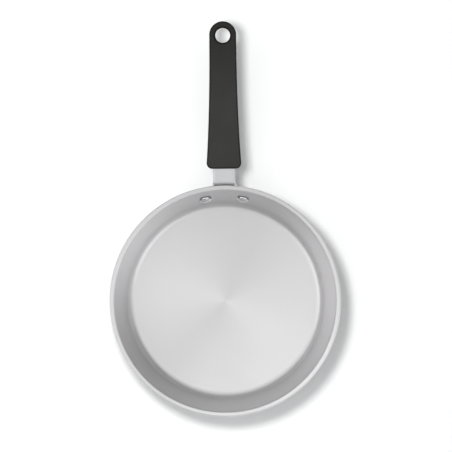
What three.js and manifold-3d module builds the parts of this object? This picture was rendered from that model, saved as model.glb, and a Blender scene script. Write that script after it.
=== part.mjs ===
// Frying pan: a thick turned aluminium dish, a cast steel handle held to its wall by two rivets,
// and a silicone grip that slips over the handle.
// Millimetres, +Z up. The origin is the centre of the base, and the handle points along +Y.
import * as THREE from "three";
import { mergeVertices } from "three/addons/utils/BufferGeometryUtils.js";
import Module from "manifold-3d";

// Dish
const RIM_DIAMETER = 254; // outside, over the rounded rim
const PAN_HEIGHT = 48; // base to rim
const WALL_LEAN = 20; // degrees that the wall leans out from upright
const WALL = 5.8; // across the wall
const FLOOR = 5; // through the base
const INNER_CORNER = 10; // radius between floor and wall, inside
const OUTER_CORNER = 15; // radius between base and wall, outside
const RIM_OUTER_EDGE = 2.3; // rounding of the rim's outer edge
const RIM_INNER_EDGE = 2.2; // rounding of the rim's inner edge

// Rivets, set square to the wall
const RIVET_SPACING = 41.2; // between the axes, on the inside of the wall
const RIVET_HEIGHT = 26.8; // of the axes above the base, on the inside of the wall
const RIVET_SHANK_DIAMETER = 6.4;
const RIVET_HEAD_DIAMETER = 13.4; // the full dome inside the dish
const RIVET_HEAD_HEIGHT = 3.6;
const RIVET_HEAD_RIM = 0.6; // upright edge under the dome
const RIVET_TAIL_DIAMETER = 11; // the end hammered flat against the handle
const RIVET_TAIL_HEIGHT = 2.4;
const RIVET_TAIL_CHAMFER = 1.2;

// Handle
const FLANGE_THICKNESS = 3.5;
const FLANGE_EDGE = 1.2; // rounding of the flange's edges
const EAR_MARGIN = 9; // metal from a rivet's axis to the flange's edge
const SHOULDER_RADIUS = 9; // hollow curve from an ear up into the neck
const BAR_THICKNESS = 5;
const BAR_EDGE_WIDTH = 2.2; // shallow rounding of the handle's long edges, across the bar
const BAR_EDGE_DEPTH = 1.1; // and down its side
const BAR_TAPER = 2.5; // how much wider the bar is at the bend than at its eye
const BAR_RISE = 0.5; // top of the bar above the rim
const BEND_RADIUS = 5.6; // on the bar's top face, where it turns off the wall
const EYE_WALL = 2.3; // metal round the hanging eye
const GROOVE_WIDTH = 13; // relief along the bar's underside
const GROOVE_DEPTH = 2.4;
const GROOVE_INSET = 5; // solid metal left at each end of the groove

// Grip
const SHANK_SHOWING = 18; // bare bar between the rim and the grip's mouth
const GRIP_LENGTH = 162;
const GRIP_SKIN = 3.4; // silicone above and below the bar
const GRIP_MOUTH_SIDE = 6.6; // silicone beside the bar at the mouth
const GRIP_EYE_SIDE = 3.5; // silicone beside the bar at the eye
const GRIP_TIP = 4.3; // silicone past the end of the bar
const GRIP_FLARE = 66; // how far from the mouth the sides start to spread
const GRIP_MOUTH_CORNER = 6.4; // plan radius of the mouth's corners
const GRIP_EDGE = 2.5; // rounding of the grip's edges
const HANG_HOLE_DIAMETER = 16.2; // through the grip
const HANG_HOLE_SETBACK = 0.6; // how far the steel eye stands back from the grip's hole

// Clearances
const SEAT_GAP = 0.3; // between faces that are drawn together
const RIVET_GAP = 0.2; // round a rivet's shank
const GRIP_GAP = 0.3; // between the bar and the grip

// Facets
const DISH_SEGMENTS = 96;
const ROUND_SEGMENTS = 24;
const CORNER_STEPS = 6;
const EDGE_STEPS = 3;
const FACE_STEPS = 8;
const BEND_STEPS = 7;
const CUT_MARGIN = 3; // how far a cutting tool runs past what it cuts

const HALF_TURN = Math.PI;
const QUARTER_TURN = Math.PI / 2;
const lean = THREE.MathUtils.degToRad(WALL_LEAN);
const wasm = await Module();
wasm.setup();

// A closed geometry as a solid that can be joined and cut.
function solid(geometry) {
  const bare = geometry.clone();
  bare.deleteAttribute("normal");
  bare.deleteAttribute("uv");
  const merged = mergeVertices(bare);
  return new wasm.Manifold(
    new wasm.Mesh({
      numProp: 3,
      vertProperties: merged.attributes.position.array,
      triVerts: new Uint32Array(merged.index.array),
    }),
  );
}

// A finished solid as a named mesh.
function piece(name, made, material) {
  const mesh = made.getMesh();
  const geometry = new THREE.BufferGeometry()
    .setAttribute("position", new THREE.BufferAttribute(mesh.vertProperties, 3))
    .setIndex(new THREE.BufferAttribute(mesh.triVerts, 1));
  geometry.computeVertexNormals();
  const named = new THREE.Mesh(geometry, material);
  named.name = name;
  return named;
}

// Points of an arc, ends included. Angles in radians, from the first axis towards the second.
function arc(centreX, centreY, radius, from, to, steps) {
  return Array.from({ length: steps + 1 }, (_, i) => {
    const angle = THREE.MathUtils.lerp(from, to, i / steps);
    return new THREE.Vector2(
      centreX + radius * Math.cos(angle),
      centreY + radius * Math.sin(angle),
    );
  });
}

// A profile of (radius, height) points turned about the Z axis.
function turned(profile, segments) {
  return solid(
    new THREE.LatheGeometry(profile, segments).rotateX(QUARTER_TURN),
  );
}

// A flat outline raised from one height to another, with its edges rounded.
function raised(outline, low, high, edgeWidth = 0, edgeDepth = edgeWidth) {
  const geometry = new THREE.ExtrudeGeometry(outline, {
    depth: high - low - 2 * edgeDepth,
    steps: 1,
    curveSegments: ROUND_SEGMENTS / 2,
    bevelEnabled: edgeWidth > 0,
    bevelThickness: edgeDepth,
    bevelSize: edgeWidth,
    bevelOffset: -edgeWidth,
    bevelSegments: EDGE_STEPS,
  });
  return solid(geometry.translate(0, 0, low + edgeDepth));
}

function circle(centreY, radius) {
  const outline = new THREE.Shape();
  return outline.absarc(0, centreY, radius, 0, 2 * HALF_TURN, false);
}

// A skin over rings of equal count. Each ring runs over one face of the section and back
// along the other, so the two ends close by pairing those faces.
function loft(rings) {
  const count = rings[0].length;
  const index = [];
  const quad = (a, b, c, d) => index.push(a, b, c, a, c, d);
  for (let ring = 0; ring + 1 < rings.length; ring++) {
    for (let i = 0; i < count; i++) {
      const here = ring * count;
      const next = (i + 1) % count;
      quad(here + i, here + next, here + count + next, here + count + i);
    }
  }
  const last = (rings.length - 1) * count;
  for (let i = 0; i + 1 < count / 2; i++) {
    const across = count - 1 - i;
    quad(i, across, across - 1, i + 1);
    quad(last + i, last + i + 1, last + across - 1, last + across);
  }
  const positions = rings.flat().flatMap((point) => point.toArray());
  const geometry = new THREE.BufferGeometry();
  geometry.setAttribute("position", new THREE.Float32BufferAttribute(positions, 3));
  return solid(geometry.setIndex(index));
}

// A bar section as (across, depth) points: over the upper face, then back under it.
// Its edges are quarter ellipses.
function barSection(halfWidth, top, bottom, edgeWidth, edgeDepth) {
  const wide = Math.min(edgeWidth, halfWidth);
  const deep = Math.min(edgeDepth, (bottom - top) / 2);
  const flat = halfWidth - wide;
  const edge = (side, from) =>
    arc(0, 0, 1, from, from + QUARTER_TURN, EDGE_STEPS).map(
      (point) => new THREE.Vector2(side * flat + wide * point.x, top + deep * (1 + point.y)),
    );
  const upper = [
    ...edge(-1, HALF_TURN),
    ...Array.from(
      { length: FACE_STEPS - 1 },
      (_, i) => new THREE.Vector2(flat * ((2 * (i + 1)) / FACE_STEPS - 1), top),
    ),
    ...edge(1, 3 * QUARTER_TURN),
  ];
  const lower = upper.map((p) => new THREE.Vector2(p.x, top + bottom - p.y));
  return [...upper, ...lower.reverse()];
}

// The wall as two parallel cones. The rim's rounded outer edge reaches RIM_DIAMETER.
const rimRounding = RIM_OUTER_EDGE * (Math.tan(lean) + 1 / Math.cos(lean) - 1);
const outerRimRadius = RIM_DIAMETER / 2 + rimRounding;
const outerRadius = (z) => outerRimRadius - (PAN_HEIGHT - z) * Math.tan(lean);
const innerRadius = (z) => outerRadius(z) - WALL / Math.cos(lean);

// Where the rivets, the handle and the grip lie
const rivetAzimuth = Math.asin(RIVET_SPACING / 2 / innerRadius(RIVET_HEIGHT));
const clampedStack = WALL + SEAT_GAP + FLANGE_THICKNESS;
const barTop = PAN_HEIGHT + BAR_RISE;
const barBottom = barTop - BAR_THICKNESS;
const eyeHoleRadius = HANG_HOLE_DIAMETER / 2 + HANG_HOLE_SETBACK;
const eyeRadius = eyeHoleRadius + EYE_WALL;
const bendHalfWidth = eyeRadius + BAR_TAPER / 2;
const mouthY = RIM_DIAMETER / 2 + SHANK_SHOWING;
const gripEndY = mouthY + GRIP_LENGTH;
const eyeY = gripEndY - GRIP_TIP - GRIP_GAP - eyeRadius;
const bendStartZ = barTop - BEND_RADIUS * (1 - Math.sin(lean));
const bendStartY = outerRadius(bendStartZ) + SEAT_GAP / Math.cos(lean);
const bendEndY = bendStartY + BEND_RADIUS * Math.cos(lean);
const wallSlope = QUARTER_TURN - lean;
const rivetFootZ = RIVET_HEIGHT - (WALL + SEAT_GAP) * Math.sin(lean);
const neckRoom = (bendStartZ - rivetFootZ) / Math.cos(lean) - SEAT_GAP;
const earAcross = rivetAzimuth * (outerRadius(rivetFootZ) + SEAT_GAP / Math.cos(lean));
const barHalfWidth = (y) =>
  THREE.MathUtils.mapLinear(y, bendEndY, eyeY, bendHalfWidth, eyeRadius);

// A ring that follows the wall between two depths, measured square to its inner face.
function wallBand(nearDepth, farDepth) {
  const low = RIVET_HEIGHT - RIVET_HEAD_DIAMETER;
  const high = RIVET_HEIGHT + RIVET_HEAD_DIAMETER;
  const at = (z, depth) => new THREE.Vector2(innerRadius(z) + depth / Math.cos(lean), z);
  const profile = [at(low, nearDepth), at(low, farDepth), at(high, farDepth), at(high, nearDepth)];
  return turned([...profile, profile[0]], DISH_SEGMENTS);
}

// A profile turned about a rivet's axis, with depth counted outwards from the wall's inner face.
// It stands in the handle's own plane, and is turned from there to either side.
function onRivetAxis(profile) {
  const geometry = new THREE.LatheGeometry(profile, ROUND_SEGMENTS).rotateX(-lean);
  return solid(geometry.translate(0, innerRadius(RIVET_HEIGHT), RIVET_HEIGHT));
}

function rivetBores() {
  const radius = RIVET_SHANK_DIAMETER / 2 + RIVET_GAP;
  const bore = onRivetAxis([
    new THREE.Vector2(0, -CUT_MARGIN),
    new THREE.Vector2(radius, -CUT_MARGIN),
    new THREE.Vector2(radius, clampedStack + CUT_MARGIN),
    new THREE.Vector2(0, clampedStack + CUT_MARGIN),
  ]);
  const degrees = THREE.MathUtils.radToDeg(rivetAzimuth);
  return bore.rotate([0, 0, degrees]).add(bore.rotate([0, 0, -degrees]));
}

function dish() {
  const outerRimZ = PAN_HEIGHT - RIM_OUTER_EDGE;
  const innerRimZ = PAN_HEIGHT - RIM_INNER_EDGE;
  const innerCornerZ = FLOOR + INNER_CORNER;
  const outerCorner = outerRadius(OUTER_CORNER) - OUTER_CORNER / Math.cos(lean);
  const outerRim = outerRadius(outerRimZ) - RIM_OUTER_EDGE / Math.cos(lean);
  const innerRim = innerRadius(innerRimZ) + RIM_INNER_EDGE / Math.cos(lean);
  const innerCorner = innerRadius(innerCornerZ) - INNER_CORNER / Math.cos(lean);
  const profile = [
    new THREE.Vector2(0, 0),
    ...arc(outerCorner, OUTER_CORNER, OUTER_CORNER, -QUARTER_TURN, -lean, CORNER_STEPS),
    ...arc(outerRim, outerRimZ, RIM_OUTER_EDGE, -lean, QUARTER_TURN, CORNER_STEPS),
    ...arc(innerRim, innerRimZ, RIM_INNER_EDGE, QUARTER_TURN, HALF_TURN - lean, CORNER_STEPS),
    ...arc(innerCorner, innerCornerZ, INNER_CORNER, -lean, -QUARTER_TURN, CORNER_STEPS),
    new THREE.Vector2(0, FLOOR),
  ];
  return turned(profile, DISH_SEGMENTS).subtract(rivetBores());
}

// A full dome inside, a shank through wall and flange, and a flattened tail outside.
function rivet() {
  const headRadius = RIVET_HEAD_DIAMETER / 2;
  const tailRadius = RIVET_TAIL_DIAMETER / 2;
  const shankRadius = RIVET_SHANK_DIAMETER / 2;
  const crown = RIVET_HEAD_HEIGHT - RIVET_HEAD_RIM;
  const domeFoot = -SEAT_GAP - RIVET_HEAD_RIM;
  const dome = arc(0, 0, 1, -QUARTER_TURN, 0, CORNER_STEPS).map(
    (point) => new THREE.Vector2(headRadius * point.x, domeFoot + crown * point.y),
  );
  const tailEnd = clampedStack + SEAT_GAP + RIVET_TAIL_HEIGHT;
  const head = onRivetAxis([
    ...dome,
    new THREE.Vector2(headRadius, WALL / 2),
    new THREE.Vector2(0, WALL / 2),
  ]).subtract(wallBand(-SEAT_GAP, WALL));
  const tail = onRivetAxis([
    new THREE.Vector2(0, clampedStack - FLANGE_THICKNESS / 2),
    new THREE.Vector2(tailRadius, clampedStack - FLANGE_THICKNESS / 2),
    new THREE.Vector2(tailRadius, tailEnd - RIVET_TAIL_CHAMFER),
    new THREE.Vector2(tailRadius - RIVET_TAIL_CHAMFER, tailEnd),
    new THREE.Vector2(0, tailEnd),
  ]).subtract(wallBand(0, clampedStack + SEAT_GAP));
  const shank = onRivetAxis([
    new THREE.Vector2(0, domeFoot),
    new THREE.Vector2(shankRadius, domeFoot),
    new THREE.Vector2(shankRadius, tailEnd - RIVET_TAIL_CHAMFER),
    new THREE.Vector2(0, tailEnd - RIVET_TAIL_CHAMFER),
  ]);
  return head.add(shank).add(tail);
}

// One section of the handle. reach and height place its wall side, which becomes the bar's top face,
// and slope is that face's climb. wrap bends the section round the dish's axis.
function handleRing({ reach, height, slope, halfWidth, top = 0, bottom, edge, wrap }) {
  return barSection(halfWidth, top, bottom, edge.width, edge.depth).map((point) => {
    const radius = reach + point.y * Math.sin(slope);
    const turn = point.x / reach;
    return new THREE.Vector3(
      THREE.MathUtils.lerp(point.x, radius * Math.sin(turn), wrap),
      THREE.MathUtils.lerp(radius, radius * Math.cos(turn), wrap),
      height - point.y * Math.cos(slope),
    );
  });
}

// Outline of one side of the flange as (across, up the wall from the rivet's axis) points:
// round the ear, then along a hollow shoulder into the neck.
function earAndShoulder() {
  const hollow = Math.max(SHOULDER_RADIUS, earAcross - bendHalfWidth);
  const meet = Math.acos((bendHalfWidth + hollow - earAcross) / (EAR_MARGIN + hollow));
  const rise = (EAR_MARGIN + hollow) * Math.sin(meet);
  const squeeze = Math.min(1, neckRoom / rise);
  const ear = arc(earAcross, 0, EAR_MARGIN, 0, meet, CORNER_STEPS);
  const shoulder = arc(
    bendHalfWidth + hollow,
    rise,
    hollow,
    HALF_TURN + meet,
    HALF_TURN,
    CORNER_STEPS,
  );
  return [...ear.slice(1), ...shoulder.slice(1)].map(
    (point) => new THREE.Vector2(point.x, point.y * squeeze),
  );
}

// The flange lies on the wall. Its lower edge is rounded, and it thickens up the neck.
function flangeRings() {
  const ring = (up, halfWidth, inset = 0) => {
    const z = rivetFootZ + up * Math.cos(lean);
    const thicken = THREE.MathUtils.smoothstep(up, EAR_MARGIN, neckRoom);
    return handleRing({
      reach: outerRadius(z) + SEAT_GAP / Math.cos(lean),
      height: z,
      slope: wallSlope,
      halfWidth,
      top: inset,
      bottom: THREE.MathUtils.lerp(FLANGE_THICKNESS, BAR_THICKNESS, thicken) - inset,
      edge: {
        width: THREE.MathUtils.lerp(FLANGE_EDGE, BAR_EDGE_WIDTH, thicken),
        depth: THREE.MathUtils.lerp(FLANGE_EDGE, BAR_EDGE_DEPTH, thicken),
      },
      wrap: 1,
    });
  };
  const lowerEdge = arc(0, 0, FLANGE_EDGE, 0, QUARTER_TURN, EDGE_STEPS).map((point) =>
    ring(
      FLANGE_EDGE - EAR_MARGIN - point.x,
      earAcross - FLANGE_EDGE + point.y,
      FLANGE_EDGE - point.y,
    ),
  );
  const lowerEar = arc(0, 0, EAR_MARGIN, -QUARTER_TURN, 0, CORNER_STEPS).map((point) =>
    ring((point.y * (EAR_MARGIN - FLANGE_EDGE)) / EAR_MARGIN, earAcross + point.x),
  );
  const upper = earAndShoulder().map((point) => ring(point.y, point.x));
  return [...lowerEdge, ...lowerEar.slice(1), ...upper];
}

// The bar turns off the wall at the rim and runs level to its eye.
function barRings() {
  const barEdge = { width: BAR_EDGE_WIDTH, depth: BAR_EDGE_DEPTH };
  const bend = Array.from({ length: BEND_STEPS + 1 }, (_, i) => {
    const slope = wallSlope * (1 - i / BEND_STEPS);
    return handleRing({
      reach: bendStartY + BEND_RADIUS * (Math.sin(wallSlope) - Math.sin(slope)),
      height: barTop - BEND_RADIUS * (1 - Math.cos(slope)),
      slope,
      halfWidth: bendHalfWidth,
      bottom: BAR_THICKNESS,
      edge: barEdge,
      wrap: slope / wallSlope,
    });
  });
  const end = handleRing({
    reach: eyeY,
    height: barTop,
    slope: 0,
    halfWidth: eyeRadius,
    bottom: BAR_THICKNESS,
    edge: barEdge,
    wrap: 0,
  });
  return [...bend, end];
}

// The round end of the bar, grown by a clearance where it shapes the grip's pocket.
function eyeDisc(clearance) {
  return raised(
    circle(eyeY, eyeRadius + clearance),
    barBottom - clearance,
    barTop + clearance,
    BAR_EDGE_WIDTH + clearance,
    Math.min(BAR_EDGE_DEPTH, BAR_THICKNESS / 2) + clearance,
  );
}

function handle() {
  const grooveRadius = GROOVE_WIDTH / 2;
  const grooveStart = bendEndY + GROOVE_INSET + grooveRadius;
  const grooveEnd = eyeY - eyeHoleRadius - GROOVE_INSET - grooveRadius;
  const grooveOutline = new THREE.Shape()
    .absarc(0, grooveEnd, grooveRadius, 0, HALF_TURN, false)
    .absarc(0, grooveStart, grooveRadius, HALF_TURN, 2 * HALF_TURN, false);
  const groove = raised(grooveOutline, barBottom - CUT_MARGIN, barBottom + GROOVE_DEPTH);
  const eye = raised(circle(eyeY, eyeHoleRadius), barBottom - CUT_MARGIN, barTop + CUT_MARGIN);
  return loft([...flangeRings(), ...barRings()])
    .add(eyeDisc(0))
    .subtract(rivetBores())
    .subtract(groove)
    .subtract(eye);
}

// The room inside the grip: the bar with its clearance, open at the mouth.
function gripPocket() {
  const ring = (y) =>
    barSection(
      barHalfWidth(y) + GRIP_GAP,
      -GRIP_GAP,
      BAR_THICKNESS + GRIP_GAP,
      BAR_EDGE_WIDTH + GRIP_GAP,
      BAR_EDGE_DEPTH + GRIP_GAP,
    ).map((point) => new THREE.Vector3(point.x, y, barTop - point.y));
  return loft([ring(mouthY - CUT_MARGIN), ring(eyeY)]).add(eyeDisc(GRIP_GAP));
}

// A paddle with a round end, spreading towards a mouth with rounded corners.
function gripOutline() {
  const endRadius = eyeRadius + GRIP_GAP + GRIP_EYE_SIDE;
  const endCentre = gripEndY - endRadius;
  const mouthHalf = barHalfWidth(mouthY) + GRIP_GAP + GRIP_MOUTH_SIDE;
  const corner = GRIP_MOUTH_CORNER;
  const cornerX = mouthHalf - corner;
  const cornerY = mouthY + corner;
  const flareY = mouthY + GRIP_FLARE;
  return new THREE.Shape()
    .moveTo(-cornerX, mouthY)
    .lineTo(cornerX, mouthY)
    .absarc(cornerX, cornerY, corner, -QUARTER_TURN, 0, false)
    .quadraticCurveTo(endRadius, flareY, endRadius, endCentre)
    .absarc(0, endCentre, endRadius, 0, HALF_TURN, false)
    .quadraticCurveTo(-endRadius, flareY, -mouthHalf, cornerY)
    .absarc(-cornerX, cornerY, corner, HALF_TURN, 3 * QUARTER_TURN, false);
}

function grip() {
  const outline = gripOutline();
  outline.holes.push(circle(eyeY, HANG_HOLE_DIAMETER / 2));
  const low = barBottom - GRIP_GAP - GRIP_SKIN;
  const high = barTop + GRIP_GAP + GRIP_SKIN;
  return raised(outline, low, high, GRIP_EDGE).subtract(gripPocket());
}

function finish(color, roughness, metalness) {
  return new THREE.MeshStandardMaterial({ color, roughness, metalness });
}

const fryingPan = new THREE.Group();
fryingPan.add(piece("pan_body", dish(), finish(0xd2d3d5, 0.35, 1)));
fryingPan.add(piece("handle", handle(), finish(0xc9cacc, 0.3, 1)));
for (const [name, side] of [["rivet_left", 1], ["rivet_right", -1]]) {
  const seat = new THREE.Group();
  seat.rotation.z = side * rivetAzimuth;
  seat.add(piece(name, rivet(), finish(0xd0d0d2, 0.25, 1)));
  fryingPan.add(seat);
}
fryingPan.add(piece("grip_sleeve", grip(), finish(0x3f3f3d, 0.75, 0)));

export default fryingPan;
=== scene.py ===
import math

import bmesh
import bpy
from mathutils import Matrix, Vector


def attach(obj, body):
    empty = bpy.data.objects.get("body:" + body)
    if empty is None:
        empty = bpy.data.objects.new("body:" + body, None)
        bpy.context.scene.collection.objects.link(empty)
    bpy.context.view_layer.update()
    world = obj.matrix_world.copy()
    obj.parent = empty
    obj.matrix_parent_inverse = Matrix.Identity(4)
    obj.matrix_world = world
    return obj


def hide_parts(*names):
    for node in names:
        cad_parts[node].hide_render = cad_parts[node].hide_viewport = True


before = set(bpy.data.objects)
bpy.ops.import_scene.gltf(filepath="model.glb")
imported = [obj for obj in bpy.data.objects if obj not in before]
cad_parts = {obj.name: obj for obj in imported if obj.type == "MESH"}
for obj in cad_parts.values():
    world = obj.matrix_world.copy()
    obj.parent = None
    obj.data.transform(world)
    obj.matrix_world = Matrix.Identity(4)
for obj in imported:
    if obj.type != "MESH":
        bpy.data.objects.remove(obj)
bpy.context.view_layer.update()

# A frying pan, seen from straight above: a turned aluminium dish, a cast steel handle on two rivets,
# and a silicone grip that slips over the handle. Metres, +Z up, handle along +Y. Azimuths are
# counterclockwise from +X.

# Dish
RIM_RADIUS = 0.127
PAN_HEIGHT = 0.048
WALL_LEAN = math.radians(20)
WALL = 0.0058
FLOOR = 0.005
INNER_CORNER = 0.010
OUTER_CORNER = 0.015
RIM_OUTER_EDGE = 0.0023
RIM_TOP_EDGE = 0.0013
RIM_INNER_EDGE = 0.0022

# Rivets
RIVET_SPACING = 0.0412
RIVET_HEIGHT = 0.0268
SHANK_RADIUS = 0.0032
HEAD_RADIUS = 0.0067
HEAD_HEIGHT = 0.0036
HEAD_RIM = 0.0006
HEAD_RELIEF = 0.0002
TAIL_RADIUS = 0.0055
TAIL_HEIGHT = 0.0024
TAIL_ROUND = 0.0012

# Handle
FLANGE_THICKNESS = 0.0035
BAR_THICKNESS = 0.005
HANDLE_EDGE_WIDTH = 0.0022
HANDLE_EDGE_DEPTH = 0.0011
EAR_MARGIN = 0.009
SHOULDER_RADIUS = 0.009
BAR_TAPER = 0.0025
BAR_RISE = 0.0005
BEND_RADIUS = 0.0056
EYE_WALL = 0.0023
EYE_EDGE = 0.0006
GROOVE_WIDTH = 0.013
GROOVE_DEPTH = 0.0024
GROOVE_INSET = 0.005
GROOVE_LIP = 0.0005
GROOVE_FILLET = 0.0009

# Grip
SHANK_SHOWING = 0.018
GRIP_LENGTH = 0.162
GRIP_SKIN = 0.0034
GRIP_MOUTH_SIDE = 0.0066
GRIP_EYE_SIDE = 0.0035
GRIP_TIP = 0.0043
GRIP_FLARE = 0.066
GRIP_MOUTH_CORNER = 0.0064
GRIP_EDGE = 0.0025
HANG_HOLE_RADIUS = 0.0081
HANG_HOLE_EDGE = 0.0031
HANG_HOLE_SETBACK = 0.0006
SEAM_HEIGHT = 0.00012
SEAM_HALF_WIDTH = 0.0003

# Clearances
SEAT_GAP = 0.0003
RIVET_GAP = 0.0002
GRIP_GAP = 0.0003
CUT_MARGIN = 0.003

# Mesh detail. Extra points lie at the distance HOLD from the ends of straights, to keep these flat
DISH_SEGMENTS = 256
ROUND_SEGMENTS = 64
ARC_STEPS = 16
EDGE_STEPS = 6
FLANGE_SLICES = 25
WALL_SLICES = 13
BEND_SLICES = 15
HOLD = 0.0002
WELD = 1e-6
SHARP = math.radians(50)

# Finishes: dark and light colour, low and high roughness, depth of the relief, marks to a metre
ALUMINIUM_COLOURS = ((0.792, 0.779, 0.784), (0.869, 0.857, 0.862))
ALUMINIUM_ROUGHNESS = (0.26, 0.36)
ALUMINIUM_RELIEF = 0.000006
ALUMINIUM_CLOUD = 22.0
FINE_RINGS = 13000.0
BROAD_RINGS = 1300.0
FINE_SHARE = 0.6
STEEL_COLOURS = ((0.752, 0.752, 0.756), (0.848, 0.848, 0.852))
STEEL_ROUGHNESS = (0.30, 0.46)
STEEL_RELIEF = 0.000008
STEEL_CLOUD = 60.0
BRUSHING = (2200.0, 60.0, 2200.0)
RIVET_COLOURS = ((0.777, 0.777, 0.788), (0.888, 0.888, 0.899))
RIVET_ROUGHNESS = (0.06, 0.13)
RIVET_RELIEF = 0.00004
RIVET_DENTS = 420.0
RIVET_GRAIN = 2600.0
SILICONE_COLOURS = ((0.0222, 0.0222, 0.0205), (0.0433, 0.0433, 0.040))
SILICONE_ROUGHNESS = (0.42, 0.58)
SILICONE_RELIEF = 0.00003
SILICONE_RELIEF_SHARE = 0.6
SILICONE_GRAIN = 1500.0
SILICONE_CLOUD = 45.0
SILICONE_SPECULAR = 0.13

# Highlights of the turned metal stretch this much, a quarter of a turn from the rings
RING_STRETCH = 0.85
RING_STRETCH_TURN = 0.25

# The silicone's colour carries painted shade: it darkens as a face turns away from upwards, and towards
# the grip's tip
SIDE_SHADE_FACING = (0.7, 0.97)
SIDE_SHADE_LEVEL = 0.1
TIP_SHADE_FADE = 0.075
TIP_SHADE_LEVEL = 0.6

# Floor and lamps
FLOOR_SIZE = 60.0
FLOOR_COLOUR = (0.875, 0.875, 0.875)
KEY_AZIMUTH = math.radians(130)
KEY_OFF_VERTICAL = math.radians(15.2)
KEY_DISTANCE = 1.55
KEY_SIZE = 0.36
KEY_POWER = 14.76
FILL_AZIMUTH = math.radians(288)
FILL_OFF_VERTICAL = math.radians(25)
FILL_DISTANCE = 0.9
FILL_HALF_ANGLE = math.radians(20)
FILL_LEVEL = 0.8

# Sky. Each lobe is a side, by azimuth, on which the light overhead is stronger or weaker
SKY_COLOUR = (0.982, 0.996, 1.0)
SKY_HIGH = 0.935
SKY_EDGE = (math.cos(math.radians(65)), math.cos(math.radians(51)))
SKY_DIM = 0.83
SKY_WIDE_AZIMUTH = math.radians(146)
SKY_WIDE = 0.28
SKY_LOBES = (
    (math.radians(193), 3.5),
    (math.radians(329), 2.35),
    (math.radians(85), 0.95),
    (math.radians(240), 0.55),
    (math.radians(20), -0.8),
    (math.radians(285), -0.6),
)
SKY_LOBE_POWER = 4.0
SKY_LOW = 0.18
SKY_LOW_AZIMUTH = math.radians(315)
SKY_LOW_LEAN = 0.35
SKY_GLOW = 1.8
SKY_GLOW_DROP = 8.0

# Camera
CAMERA_PLACE = (0.00155, 0.08225)
CAMERA_RANGE = 12.0
CAMERA_ROLL = math.radians(-0.57)
CAMERA_REACH = 100.0
FRAME_AT_RIM = 0.4959
SENSOR = 36.0

# Sizes that follow from those above
outer_wall_top = (
    RIM_RADIUS
    - RIM_OUTER_EDGE
    + RIM_OUTER_EDGE / math.cos(WALL_LEAN)
    + RIM_OUTER_EDGE * math.tan(WALL_LEAN)
)


def outer_radius(z):
    return outer_wall_top - (PAN_HEIGHT - z) * math.tan(WALL_LEAN)


def inner_radius(z):
    return outer_radius(z) - WALL / math.cos(WALL_LEAN)


wall_slope = math.pi / 2 - WALL_LEAN
rivet_reach = inner_radius(RIVET_HEIGHT)
rivet_azimuth = math.asin(RIVET_SPACING / 2 / rivet_reach)
rivet_foot_z = RIVET_HEIGHT - (WALL + SEAT_GAP) * math.sin(WALL_LEAN)
clamped_stack = WALL + SEAT_GAP + FLANGE_THICKNESS
bar_top = PAN_HEIGHT + BAR_RISE
bend_start_z = bar_top - BEND_RADIUS * (1 - math.cos(wall_slope))
bend_start_y = outer_radius(bend_start_z) + SEAT_GAP / math.cos(WALL_LEAN)
bend_end_y = bend_start_y + BEND_RADIUS * math.sin(wall_slope)
mouth_y = RIM_RADIUS + SHANK_SHOWING
grip_end_y = mouth_y + GRIP_LENGTH
eye_hole_radius = HANG_HOLE_RADIUS + HANG_HOLE_SETBACK
eye_radius = eye_hole_radius + EYE_WALL
eye_y = grip_end_y - GRIP_TIP - GRIP_GAP - eye_radius
bend_half_width = eye_radius + BAR_TAPER / 2

# The handle is laid out flat, as (across, up from the rivets, through its thickness), then bent
ACROSS = 0
UP = 1
flat_bend_start = (bend_start_z - rivet_foot_z) / math.cos(WALL_LEAN)
flat_bend_end = flat_bend_start + BEND_RADIUS * wall_slope
flat_eye = flat_bend_end + eye_y - bend_end_y
foot_reach = outer_radius(rivet_foot_z) + SEAT_GAP / math.cos(WALL_LEAN)
flat_rivet = rivet_azimuth * foot_reach


def blend(start, end, share):
    return start + (end - start) * share


def ease(share):
    share = min(1, max(0, share))
    return share * share * (3 - 2 * share)


def spread(start, end, count):
    """Evenly spaced values, ends included."""
    return [blend(start, end, i / (count - 1)) for i in range(count)]


def bar_half_width(y):
    share = (y - bend_end_y) / (eye_y - bend_end_y)
    return blend(bend_half_width, eye_radius, share)


# Outlines


def arc(centre, radius, start, end, steps=ARC_STEPS):
    """Points of an arc in a plane, ends included. Angles in degrees."""
    turns = [math.radians(blend(start, end, i / steps)) for i in range(steps + 1)]
    return [(centre[0] + radius * math.cos(t), centre[1] + radius * math.sin(t)) for t in turns]


def circle(centre, radius):
    return arc(centre, radius, 0, 360, ROUND_SEGMENTS)[:-1]


def curve(start, control, end, steps=2 * ARC_STEPS):
    """Points of a quadratic curve, ends included."""
    start, control, end = Vector(start), Vector(control), Vector(end)
    points = []
    for i in range(steps + 1):
        share = i / steps
        first = blend(start, control, share)
        second = blend(control, end, share)
        points.append(blend(first, second, share).to_tuple())
    return points


def chain(*runs):
    """Runs of points as one line, with a point close to each end of the straights between them."""
    line = list(runs[0])
    for run in runs[1:]:
        here, there = Vector(line[-1]), Vector(run[0])
        gap = (there - here).length
        if gap > 3 * HOLD:
            step = (there - here) * (HOLD / gap)
            line += [(here + step).to_tuple(), (there - step).to_tuple()]
        line += run if gap > WELD else run[1:]
    return line


def both_sides(right):
    """A closed outline from its right half, which runs from the lower end of the middle to the upper."""
    left = [(-x, y) for x, y in reversed(right)]
    line = chain(right, left)
    ends = chain(left[-1:], right[:1])
    return line + ends[1:-1]


def shifted(outline, distance):
    """A closed counterclockwise outline, moved outwards all round."""
    moved = []
    for i, (x, y) in enumerate(outline):
        before = Vector(outline[i - 1])
        after = Vector(outline[(i + 1) % len(outline)])
        along = (after - before).normalized()
        moved.append((x + distance * along.y, y - distance * along.x))
    return moved


def quarter_turn():
    """Angles from 0 to 90 degrees, for the small rounding of an edge."""
    return [math.radians(90 * i / EDGE_STEPS) for i in range(EDGE_STEPS + 1)]


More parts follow.
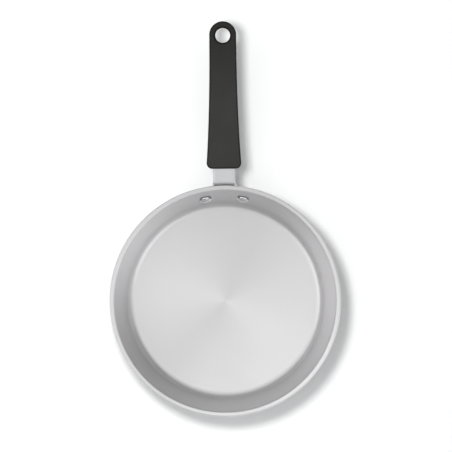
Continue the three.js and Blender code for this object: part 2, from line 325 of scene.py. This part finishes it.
def rounded_levels(width, depth, thickness):
    """(shift, depth) steps down the side of a plate. Its edges are quarter ellipses."""
    upper = [(width * (math.sin(t) - 1), depth * (1 - math.cos(t))) for t in quarter_turn()]
    upper.insert(0, (-width - HOLD, 0))
    upper.append((0, depth + HOLD))
    lower = [(shift, thickness - down) for shift, down in reversed(upper)]
    return upper + lower


def hole_levels(edge, thickness):
    """(shift, depth) steps down the side of a hole in a plate."""
    return [(-shift, depth) for shift, depth in rounded_levels(edge, edge, thickness)]


# Meshes


def bridge(bm, first, second):
    """Faces between two rings. A ring of one vertex closes the end."""
    count = max(len(first), len(second))
    for i in range(count):
        corners = []
        for ring, step in ((first, i), (first, i + 1), (second, i + 1), (second, i)):
            vertex = ring[step % len(ring)]
            if vertex not in corners:
                corners.append(vertex)
        bm.faces.new(corners)


def turned(profile, segments):
    """A profile of (radius, height) points turned about the Z axis."""
    bm = bmesh.new()
    rings = []
    for radius, height in profile:
        count = segments if radius > WELD else 1
        turns = [2 * math.pi * i / segments for i in range(count)]
        ring = [bm.verts.new((radius * math.cos(t), radius * math.sin(t), height)) for t in turns]
        rings.append(ring)
    for first, second in zip(rings, rings[1:]):
        bridge(bm, first, second)
    return bm


def wall(bm, outline, levels):
    """A plate's side along an outline. Returns its first and last ring."""
    rings = []
    for shift, depth in levels:
        rings.append([bm.verts.new((x, y, depth)) for x, y in shifted(outline, shift)])
    for first, second in zip(rings, rings[1:]):
        bridge(bm, first, second)
    return rings[0], rings[-1]


def fill(bm, rings):
    """Closes a flat face. The first ring bounds it, and the others are holes in it."""
    edges = [bm.edges.get((ring[i - 1], ring[i])) for ring in rings for i in range(len(ring))]
    bmesh.ops.triangle_fill(bm, edges=edges, use_beauty=True)


def sliced(bm, axis, places):
    """Cuts all faces at these places along an axis, so that they can be bent there."""
    normal = Vector((0, 0, 0))
    normal[axis] = 1
    for place in places:
        everything = bm.verts[:] + bm.edges[:] + bm.faces[:]
        bmesh.ops.bisect_plane(bm, geom=everything, plane_co=normal * place, plane_no=normal)


def placed(name, data):
    """A new object in the scene."""
    made = bpy.data.objects.new(name, data)
    bpy.context.scene.collection.objects.link(made)
    return made


def mesh_object(name, bm):
    bmesh.ops.remove_doubles(bm, verts=bm.verts, dist=WELD)
    bmesh.ops.recalc_face_normals(bm, faces=bm.faces)
    mesh = bpy.data.meshes.new(name)
    bm.to_mesh(mesh)
    bm.free()
    return placed(name, mesh)


def cut(target, tool):
    """Takes the tool's space out of the target, for good, and removes the tool."""
    boolean = target.modifiers.new("cut", "BOOLEAN")
    boolean.operation = "DIFFERENCE"
    boolean.solver = "EXACT"
    boolean.object = tool
    graph = bpy.context.evaluated_depsgraph_get()
    result = bpy.data.meshes.new_from_object(target.evaluated_get(graph))
    target.modifiers.remove(boolean)
    target.data = result
    bpy.data.objects.remove(tool)


def settle(made, node, body, material):
    """Smooths a finished piece, dresses it and puts it in its CAD node's place."""
    made.data.materials.clear()
    made.data.materials.append(material)
    made.data.shade_smooth()
    made.data.set_sharp_from_angle(angle=SHARP)
    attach(made, body)
    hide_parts(node)


# Pieces


def dish():
    """One profile, turned: base, outer wall, rim, inner wall and floor."""
    outer_rim_z = PAN_HEIGHT - RIM_OUTER_EDGE
    inner_rim_z = PAN_HEIGHT - RIM_INNER_EDGE
    inner_corner_z = FLOOR + INNER_CORNER
    outer_corner_r = outer_radius(OUTER_CORNER) - OUTER_CORNER / math.cos(WALL_LEAN)
    outer_rim_r = outer_radius(outer_rim_z) - RIM_OUTER_EDGE / math.cos(WALL_LEAN)
    inner_rim_r = inner_radius(inner_rim_z) + RIM_INNER_EDGE / math.cos(WALL_LEAN)
    inner_corner_r = inner_radius(inner_corner_z) - INNER_CORNER / math.cos(WALL_LEAN)
    lean = math.degrees(WALL_LEAN)
    profile = chain(
        [(0, 0)],
        arc((outer_corner_r, OUTER_CORNER), OUTER_CORNER, -90, -lean, 2 * ARC_STEPS),
        arc((outer_rim_r, outer_rim_z), RIM_OUTER_EDGE, -lean, 0),
        arc((RIM_RADIUS - RIM_TOP_EDGE, PAN_HEIGHT - RIM_TOP_EDGE), RIM_TOP_EDGE, 0, 90),
        arc((inner_rim_r, inner_rim_z), RIM_INNER_EDGE, 90, 180 - lean),
        arc((inner_corner_r, inner_corner_z), INNER_CORNER, -lean, -90, 2 * ARC_STEPS),
        [(0, FLOOR)],
    )
    return mesh_object("dish", turned(profile, DISH_SEGMENTS))


def rivet(name, side):
    """A full dome inside, a shank, and a hammered tail outside. side is -1 for left and 1 for right."""
    crown = HEAD_HEIGHT - HEAD_RIM
    dome_foot = -SEAT_GAP - HEAD_RIM
    dome = [(HEAD_RADIUS * x, dome_foot + crown * y) for x, y in arc((0, 0), 1, -90, 0)]
    shank = [
        (SHANK_RADIUS, dome_foot + HEAD_RELIEF),
        (SHANK_RADIUS, clamped_stack),
        (TAIL_RADIUS, clamped_stack),
    ]
    tail_end = clamped_stack + SEAT_GAP + TAIL_HEIGHT
    profile = chain(
        dome,
        arc((HEAD_RADIUS - HEAD_RELIEF, dome_foot), HEAD_RELIEF, 0, 90, EDGE_STEPS),
        shank,
        arc((TAIL_RADIUS - TAIL_ROUND, tail_end - TAIL_ROUND), TAIL_ROUND, 0, 90, EDGE_STEPS),
        [(0, tail_end)],
    )
    bm = turned(profile, ROUND_SEGMENTS)
    turn = side * rivet_azimuth
    outwards = Vector((math.sin(turn), math.cos(turn), 0))
    sideways = Vector((math.cos(turn), -math.sin(turn), 0))
    upright = Vector((0, 0, 1))
    along = outwards * math.cos(WALL_LEAN) - upright * math.sin(WALL_LEAN)
    up_wall = outwards * math.sin(WALL_LEAN) + upright * math.cos(WALL_LEAN)
    seat = outwards * rivet_reach + upright * RIVET_HEIGHT
    for vertex in bm.verts:
        x, y, z = vertex.co
        vertex.co = seat + sideways * x + up_wall * y + along * z
    return mesh_object(name, bm)


def handle_outline():
    """The handle laid out flat: two ears, hollow shoulders, a neck, and a bar with a round end."""
    hollow_x = bend_half_width + SHOULDER_RADIUS
    reach = EAR_MARGIN + SHOULDER_RADIUS
    meet = math.acos((hollow_x - flat_rivet) / reach)
    rise = reach * math.sin(meet)
    turn = math.degrees(meet)
    right = chain(
        arc((flat_rivet, 0), EAR_MARGIN, -90, turn, 2 * ARC_STEPS),
        arc((hollow_x, rise), SHOULDER_RADIUS, 180 + turn, 180),
        [(bend_half_width, flat_bend_end)],
        arc((0, flat_eye), eye_radius, 0, 90),
    )
    return both_sides(right)


def bent(flat):
    """Where a point of the flat handle lies on the wall, round the bend or along the bar."""
    x, up, depth = flat
    slope = wall_slope
    if up <= flat_bend_start:
        height = rivet_foot_z + up * math.cos(WALL_LEAN)
        reach = outer_radius(height) + SEAT_GAP / math.cos(WALL_LEAN)
    else:
        share = min(1, (up - flat_bend_start) / (flat_bend_end - flat_bend_start))
        slope = wall_slope * (1 - share)
        reach = bend_start_y + BEND_RADIUS * (math.sin(wall_slope) - math.sin(slope))
        reach += max(0, up - flat_bend_end)
        height = bar_top - BEND_RADIUS * (1 - math.cos(slope))
    thicken = ease((up - EAR_MARGIN) / (flat_bend_start - EAR_MARGIN))
    depth *= blend(FLANGE_THICKNESS / BAR_THICKNESS, 1, thicken)
    radius = reach + depth * math.sin(slope)
    turn = x / reach
    wrap = slope / wall_slope
    return Vector((
        blend(x, radius * math.sin(turn), wrap),
        blend(radius, radius * math.cos(turn), wrap),
        height - depth * math.cos(slope),
    ))


def groove(bm):
    """The relief along the bar's underside, from its open ring up to its floor. Returns that ring."""
    radius = GROOVE_WIDTH / 2
    start = flat_bend_end + GROOVE_INSET + radius
    end = flat_eye - eye_hole_radius - GROOVE_INSET - radius
    right = chain(arc((0, start), radius, -90, 0), arc((0, end), radius, 0, 90))
    lip = [(GROOVE_LIP * (1 - math.sin(t)), GROOVE_LIP * (1 - math.cos(t))) for t in quarter_turn()]
    foot = [
        (GROOVE_FILLET * (math.cos(t) - 1), GROOVE_DEPTH - GROOVE_FILLET * (1 - math.sin(t)))
        for t in quarter_turn()
    ]
    levels = [(GROOVE_LIP + HOLD, 0), *lip, *foot, (-GROOVE_FILLET - HOLD, GROOVE_DEPTH)]
    rings = wall(bm, both_sides(right), [(shift, BAR_THICKNESS - depth) for shift, depth in levels])
    fill(bm, rings[1:])
    return rings[0]


def handle():
    """A flat casting with its holes and groove, bent to the wall and out along the bar."""
    bm = bmesh.new()
    rivet_hole = SHANK_RADIUS + RIVET_GAP
    edge_levels = rounded_levels(HANDLE_EDGE_WIDTH, HANDLE_EDGE_DEPTH, BAR_THICKNESS)
    bore_levels = hole_levels(EYE_EDGE, BAR_THICKNESS)
    sides = [
        wall(bm, handle_outline(), edge_levels),
        wall(bm, circle((0, flat_eye), eye_hole_radius), bore_levels),
        wall(bm, circle((flat_rivet, 0), rivet_hole), bore_levels),
        wall(bm, circle((-flat_rivet, 0), rivet_hole), bore_levels),
    ]
    fill(bm, [first for first, _ in sides])
    fill(bm, [last for _, last in sides] + [groove(bm)])
    flange_reach = flat_rivet + EAR_MARGIN
    sliced(bm, ACROSS, spread(-flange_reach, flange_reach, FLANGE_SLICES)[1:-1])
    sliced(bm, UP, spread(-EAR_MARGIN, flat_bend_start, WALL_SLICES)[1:])
    sliced(bm, UP, spread(flat_bend_start, flat_bend_end, BEND_SLICES)[1:])
    for vertex in bm.verts:
        vertex.co = bent(vertex.co)
    return mesh_object("cast_handle", bm)


def grip_pocket():
    """The room inside the grip: the bar with its clearance, open at the mouth."""
    start = mouth_y - CUT_MARGIN
    right = chain(
        [(0, start), (bar_half_width(start) + GRIP_GAP, start)],
        arc((0, eye_y), eye_radius + GRIP_GAP, 0, 90),
    )
    depth = BAR_THICKNESS + 2 * GRIP_GAP
    bm = bmesh.new()
    levels = rounded_levels(HANDLE_EDGE_WIDTH + GRIP_GAP, HANDLE_EDGE_DEPTH + GRIP_GAP, depth)
    low, high = wall(bm, both_sides(right), levels)
    fill(bm, [low])
    fill(bm, [high])
    bmesh.ops.translate(bm, verts=bm.verts, vec=(0, 0, bar_top + GRIP_GAP - depth))
    return mesh_object("pocket", bm)


def grip_levels(thickness):
    """Down the grip's side, with the fine raised line that its mould leaves at half height."""
    middle = thickness / 2
    plain = rounded_levels(GRIP_EDGE, GRIP_EDGE, thickness)
    levels = [(shift - SEAM_HEIGHT, depth) for shift, depth in plain]
    half = len(levels) // 2
    seam = [
        (-SEAM_HEIGHT, middle - SEAM_HALF_WIDTH),
        (0, middle),
        (-SEAM_HEIGHT, middle + SEAM_HALF_WIDTH),
    ]
    return levels[:half] + seam + levels[half:]


def grip():
    """A flared sleeve with a round end and a hanging hole, hollow for the bar."""
    end_radius = eye_radius + GRIP_GAP + GRIP_EYE_SIDE
    end_y = grip_end_y - end_radius
    mouth_half = bar_half_width(mouth_y) + GRIP_GAP + GRIP_MOUTH_SIDE
    corner = GRIP_MOUTH_CORNER
    right = chain(
        arc((mouth_half - corner, mouth_y + corner), corner, -90, 0),
        curve((mouth_half, mouth_y + corner), (end_radius, mouth_y + GRIP_FLARE), (end_radius, end_y)),
        arc((0, end_y), end_radius, 0, 90),
    )
    thickness = BAR_THICKNESS + 2 * GRIP_GAP + 2 * GRIP_SKIN
    bm = bmesh.new()
    sides = [
        wall(bm, both_sides(right), grip_levels(thickness)),
        wall(bm, circle((0, eye_y), HANG_HOLE_RADIUS), hole_levels(HANG_HOLE_EDGE, thickness)),
    ]
    fill(bm, [first for first, _ in sides])
    fill(bm, [last for _, last in sides])
    bmesh.ops.translate(bm, verts=bm.verts, vec=(0, 0, bar_top + GRIP_GAP + GRIP_SKIN - thickness))
    sleeve = mesh_object("sleeve", bm)
    cut(sleeve, grip_pocket())
    return sleeve


# Shader nodes


def add(tree, kind, inputs=(), **settings):
    """A shader node with its settings, and its inputs as (socket, value or another node's output)."""
    made = tree.nodes.new("ShaderNode" + kind)
    for key, value in settings.items():
        setattr(made, key, value)
    for socket, value in inputs:
        if isinstance(value, bpy.types.NodeSocket):
            tree.links.new(value, made.inputs[socket])
        else:
            made.inputs[socket].default_value = value
    return made


def calculated(tree, operation, first, second=0.0):
    return add(tree, "Math", [(0, first), (1, second)], operation=operation).outputs[0]


def plus(tree, first, second):
    return calculated(tree, "ADD", first, second)


def minus(tree, first, second):
    return calculated(tree, "SUBTRACT", first, second)


def times(tree, first, second):
    return calculated(tree, "MULTIPLY", first, second)


def average(tree, first, second):
    return times(tree, plus(tree, first, second), 0.5)


def ranged(tree, value, low, high, start=0.0, end=1.0, interpolation="LINEAR"):
    """Maps a value between start and end onto the range from low to high, and keeps it inside."""
    inputs = [("Value", value), ("From Min", start), ("From Max", end), ("To Min", low), ("To Max", high)]
    return add(tree, "MapRange", inputs, interpolation_type=interpolation).outputs["Result"]


def place_xyz(tree):
    """The point being shaded, in the frame that all pieces share at rest."""
    return add(tree, "TexCoord").outputs["Object"]


def noise(tree, scale, detail):
    """An even cloudy pattern with about this many marks to a metre."""
    inputs = [("Vector", place_xyz(tree)), ("Scale", scale), ("Detail", detail)]
    return add(tree, "TexNoise", inputs).outputs[0]


def ring_noise(tree, across, scale, detail):
    """Irregular lines with about this many to a metre of the length across them."""
    inputs = [("W", across), ("Scale", scale), ("Detail", detail)]
    return add(tree, "TexNoise", inputs, noise_dimensions="1D").outputs[0]


def across_rings(tree):
    """A length that grows across the turning marks, along floor and wall alike."""
    xyz = add(tree, "SeparateXYZ", [(0, place_xyz(tree))])
    squares = [calculated(tree, "POWER", xyz.outputs[axis], 2.0) for axis in ("X", "Y")]
    radius = calculated(tree, "SQRT", plus(tree, *squares))
    return plus(tree, radius, xyz.outputs["Z"])


def shade_range(tree, value, dark, light):
    ramp = add(tree, "ValToRGB", [("Fac", value)])
    ramp.color_ramp.elements[0].color = (*dark, 1)
    ramp.color_ramp.elements[1].color = (*light, 1)
    return ramp.outputs["Color"]


# Materials


def principled(name):
    """A new material, its node tree and its shader."""
    material = bpy.data.materials.new(name)
    material.use_nodes = True
    tree = material.node_tree
    return material, tree, tree.nodes["Principled BSDF"]


def dress(tree, shader, colour, roughness, height, relief, share=1.0):
    """Gives a shader its colour, its roughness, and a share of a relief of this depth."""
    bump = add(tree, "Bump", [("Height", height), ("Strength", share), ("Distance", relief)])
    tree.links.new(colour, shader.inputs["Base Color"])
    tree.links.new(roughness, shader.inputs["Roughness"])
    tree.links.new(bump.outputs["Normal"], shader.inputs["Normal"])


def turned_aluminium():
    """Satin aluminium with the fine rings that turning leaves."""
    material, tree, shader = principled("turned_aluminium")
    across = across_rings(tree)
    fine = ring_noise(tree, across, FINE_RINGS, detail=3.0)
    broad = ring_noise(tree, across, BROAD_RINGS, detail=2.0)
    rings = plus(tree, times(tree, fine, FINE_SHARE), times(tree, broad, 1 - FINE_SHARE))
    cloud = noise(tree, ALUMINIUM_CLOUD, detail=3.0)
    colour = shade_range(tree, rings, *ALUMINIUM_COLOURS)
    roughness = ranged(tree, average(tree, rings, cloud), *ALUMINIUM_ROUGHNESS)
    dress(tree, shader, colour, roughness, rings, ALUMINIUM_RELIEF)
    tangent = add(tree, "Tangent", direction_type="RADIAL", axis="Z")
    tree.links.new(tangent.outputs["Tangent"], shader.inputs["Tangent"])
    shader.inputs["Metallic"].default_value = 1.0
    shader.inputs["Anisotropic"].default_value = RING_STRETCH
    shader.inputs["Anisotropic Rotation"].default_value = RING_STRETCH_TURN
    return material


def brushed_steel():
    """Satin steel, brushed along the bar."""
    material, tree, shader = principled("brushed_steel")
    stretch = add(tree, "Mapping", [("Vector", place_xyz(tree)), ("Scale", BRUSHING)])
    inputs = [("Vector", stretch.outputs[0]), ("Scale", 1.0), ("Detail", 4.0)]
    lines = add(tree, "TexNoise", inputs).outputs[0]
    mixed = average(tree, lines, noise(tree, STEEL_CLOUD, detail=3.0))
    colour = shade_range(tree, mixed, *STEEL_COLOURS)
    roughness = ranged(tree, mixed, *STEEL_ROUGHNESS)
    dress(tree, shader, colour, roughness, lines, STEEL_RELIEF)
    shader.inputs["Metallic"].default_value = 1.0
    return material


def struck_rivet():
    """Bright soft metal, faintly dented by the striking tool."""
    material, tree, shader = principled("struck_rivet")
    dents = noise(tree, RIVET_DENTS, detail=2.0)
    mixed = average(tree, dents, noise(tree, RIVET_GRAIN, detail=3.0))
    colour = shade_range(tree, mixed, *RIVET_COLOURS)
    roughness = ranged(tree, mixed, *RIVET_ROUGHNESS)
    dress(tree, shader, colour, roughness, dents, RIVET_RELIEF)
    shader.inputs["Metallic"].default_value = 1.0
    return material


def matt_silicone():
    """Black moulded silicone with a fine even grain, and painted shade that darkens its sides and its
    tip.
    """
    material, tree, shader = principled("matt_silicone")
    grain = noise(tree, SILICONE_GRAIN, detail=3.0)
    mixed = average(tree, grain, noise(tree, SILICONE_CLOUD, detail=4.0))
    plain = shade_range(tree, mixed, *SILICONE_COLOURS)
    normal = add(tree, "SeparateXYZ", [(0, add(tree, "TexCoord").outputs["Normal"])])
    place = add(tree, "SeparateXYZ", [(0, place_xyz(tree))])
    # Painted shade: the colour is scaled down on faces that turn away from upwards, and towards the
    # grip's tip
    side_shade = ranged(tree, normal.outputs["Z"], SIDE_SHADE_LEVEL, 1.0, *SIDE_SHADE_FACING)
    tip_shade = ranged(tree, place.outputs["Y"], 1.0, TIP_SHADE_LEVEL, eye_y - TIP_SHADE_FADE, eye_y)
    painted_shade = times(tree, side_shade, tip_shade)
    shaded = add(tree, "VectorMath", [(0, plain), ("Scale", painted_shade)], operation="SCALE")
    colour = shaded.outputs["Vector"]
    roughness = ranged(tree, mixed, *SILICONE_ROUGHNESS)
    dress(tree, shader, colour, roughness, grain, SILICONE_RELIEF, SILICONE_RELIEF_SHARE)
    shader.inputs["Specular IOR Level"].default_value = SILICONE_SPECULAR
    return material


# Stage, light and camera


def towards(azimuth, off_vertical):
    flat = math.sin(off_vertical)
    return Vector((flat * math.cos(azimuth), flat * math.sin(azimuth), math.cos(off_vertical)))


def studio_floor():
    mesh = bpy.data.meshes.new("studio_floor")
    half = FLOOR_SIZE / 2
    corners = [(-half, -half, 0), (half, -half, 0), (half, half, 0), (-half, half, 0)]
    mesh.from_pydata(corners, [], [(0, 1, 2, 3)])
    material, _, shader = principled("studio_floor")
    shader.inputs["Base Color"].default_value = (*FLOOR_COLOUR, 1)
    shader.inputs["Roughness"].default_value = 1.0
    shader.inputs["Specular IOR Level"].default_value = 0.0
    mesh.materials.append(material)
    placed("studio_floor", mesh)


def round_lamp(name, azimuth, off_vertical, distance, size, power):
    """A round soft lamp that faces the dish."""
    lamp = bpy.data.lights.new(name, "AREA")
    lamp.shape = "DISK"
    lamp.size = size
    lamp.energy = power
    made = placed(name, lamp)
    direction = towards(azimuth, off_vertical)
    made.location = direction * distance
    made.rotation_euler = direction.to_track_quat("Z", "Y").to_euler()
    return made


def key_light():
    """The lamp that throws the shadow on the floor."""
    made = round_lamp("key", KEY_AZIMUTH, KEY_OFF_VERTICAL, KEY_DISTANCE, KEY_SIZE, KEY_POWER)
    made.visible_glossy = False


def fill_light():
    """A wide lamp close to the dish. Over the part that it covers, the sky is dimmer by its level."""
    radius = FILL_DISTANCE * math.tan(FILL_HALF_ANGLE)
    power = FILL_LEVEL * (math.pi * radius) ** 2
    made = round_lamp("fill", FILL_AZIMUTH, FILL_OFF_VERTICAL, FILL_DISTANCE, 2 * radius, power)
    made.data.color = SKY_COLOUR
    made.visible_camera = False


def sky():
    """A soft long light overhead that reaches further down on some sides, in a dimmer room."""
    world = bpy.data.worlds.new("studio")
    world.use_nodes = True
    tree = world.node_tree
    direction = add(tree, "TexCoord").outputs["Generated"]

    def along(azimuth, off_vertical=math.pi / 2):
        inputs = [(0, direction), (1, towards(azimuth, off_vertical))]
        return add(tree, "VectorMath", inputs, operation="DOT_PRODUCT").outputs["Value"]

    # The light overhead dims from its middle, and is longer one way than the other
    upright = along(0, 0)
    overhead = ranged(tree, upright, 0.0, 1.0, *SKY_EDGE, interpolation="SMOOTHSTEP")
    off_centre = minus(tree, 1.0, times(tree, upright, upright))
    shape = minus(tree, 1.0, times(tree, off_centre, SKY_DIM))
    longways = calculated(tree, "ABSOLUTE", along(SKY_WIDE_AZIMUTH))
    crossways = calculated(tree, "ABSOLUTE", along(SKY_WIDE_AZIMUTH + math.pi / 2))
    longer = minus(tree, longways, crossways)
    shape = plus(tree, shape, times(tree, longer, SKY_WIDE))
    for azimuth, strength in SKY_LOBES:
        facing = calculated(tree, "MAXIMUM", along(azimuth), 0.0)
        lobe = calculated(tree, "POWER", facing, SKY_LOBE_POWER)
        shape = plus(tree, shape, times(tree, lobe, strength))
    light = times(tree, times(tree, shape, SKY_HIGH), overhead)

    # The room below it is lighter on its open side, most of all near the horizon
    open_side = along(SKY_LOW_AZIMUTH)
    room = plus(tree, times(tree, open_side, SKY_LOW_LEAN), 1.0)
    beside = minus(tree, 1.0, overhead)
    dim = times(tree, times(tree, room, SKY_LOW), beside)
    levelness = minus(tree, 1.0, calculated(tree, "ABSOLUTE", upright))
    near_horizon = calculated(tree, "POWER", levelness, SKY_GLOW_DROP)
    glow = times(tree, calculated(tree, "MAXIMUM", open_side, 0.0), near_horizon)
    level = plus(tree, plus(tree, light, dim), times(tree, glow, SKY_GLOW))

    # The fill lamp gives the light that is taken away here
    to_fill = along(FILL_AZIMUTH, FILL_OFF_VERTICAL)
    covered = calculated(tree, "GREATER_THAN", to_fill, math.cos(FILL_HALF_ANGLE))
    level = minus(tree, level, times(tree, covered, FILL_LEVEL))
    level = calculated(tree, "MAXIMUM", level, 0.0)
    background = tree.nodes["Background"]
    tree.links.new(level, background.inputs["Strength"])
    background.inputs["Color"].default_value = (*SKY_COLOUR, 1)
    bpy.context.scene.world = world


def camera():
    data = bpy.data.cameras.new("camera")
    data.sensor_width = SENSOR
    data.lens = SENSOR * CAMERA_RANGE / FRAME_AT_RIM
    data.clip_end = CAMERA_REACH
    made = placed("camera", data)
    made.location = (*CAMERA_PLACE, PAN_HEIGHT + CAMERA_RANGE)
    made.rotation_euler = (0, 0, CAMERA_ROLL)
    bpy.context.scene.camera = made


aluminium = turned_aluminium()
steel = brushed_steel()
rivet_metal = struck_rivet()
silicone = matt_silicone()

settle(dish(), "pan_body", "pan", aluminium)
settle(handle(), "handle", "pan", steel)
settle(rivet("rivet_l", -1), "rivet_left", "pan", rivet_metal)
settle(rivet("rivet_r", 1), "rivet_right", "pan", rivet_metal)
settle(grip(), "grip_sleeve", "grip", silicone)

studio_floor()
key_light()
fill_light()
sky()
camera()
bpy.context.scene.view_settings.view_transform = "Standard"
